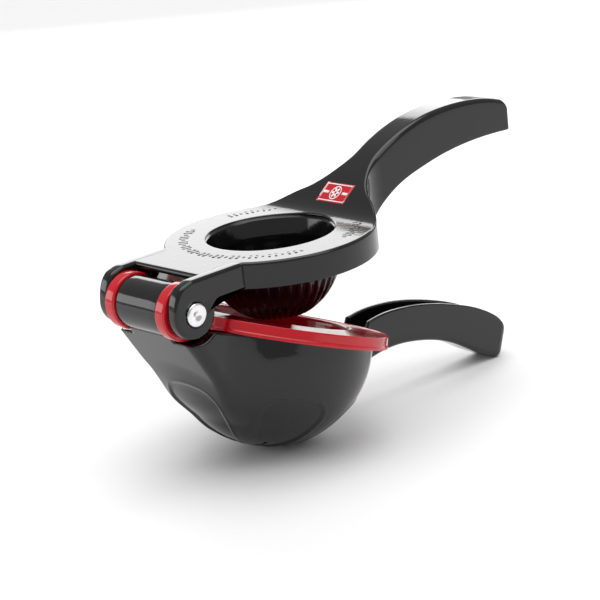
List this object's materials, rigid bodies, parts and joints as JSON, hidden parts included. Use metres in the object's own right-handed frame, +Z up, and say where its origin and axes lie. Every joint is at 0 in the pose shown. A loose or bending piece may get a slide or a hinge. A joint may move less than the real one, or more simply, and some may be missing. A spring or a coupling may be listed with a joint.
{
  "type": "hand-held citrus press",
  "caption": "Hinged two-handled citrus press: round bowl with drain slots, hinged inner cup, ribbed hollow plunger under a ring plate, and channel-section handles.",
  "frame": {"origin": "on the table, under the middle of the press as it lies with the bowl and the nose of the lower handle touching the table", "axes": "+X from the hinge to the handles, +Y along the hinge axis, +Z up from the table"},
  "size_m": [0.2276, 0.104, 0.1284],
  "materials": {
    "black_enamel": "gloss black enamel on cast aluminium",
    "red_enamel": "gloss red enamel on cast aluminium",
    "bright_steel": "bright drawn steel"
  },
  "bodies": {
    "lower_arm": {"lower_bowl": "black_enamel", "lower_hinge_web": "black_enamel", "lower_hinge_barrel": "black_enamel", "lower_handle": "black_enamel"},
    "insert": {"insert_cup": "red_enamel", "insert_flange": "red_enamel", "insert_eye_right": "red_enamel", "insert_eye_left": "red_enamel"},
    "upper_arm": {"plunger_ring": "black_enamel", "plunger_dome": "black_enamel", "upper_lug_right": "black_enamel", "upper_lug_left": "black_enamel", "upper_handle": "black_enamel", "hinge_pin": "bright_steel"}
  },
  "joints": [
    {"name": "insert_hinge", "type": "hinge", "parent": "lower_arm", "child": "insert", "pos_m": [-0.10153, 0, 0.07808], "axis": [0, -1, 0], "range_deg": [0, 75]},
    {"name": "upper_arm_hinge", "type": "hinge", "parent": "insert", "child": "upper_arm", "pos_m": [-0.10153, 0, 0.07808], "axis": [0, -1, 0], "range_deg": [-20.5, 54.5]}
  ]
}
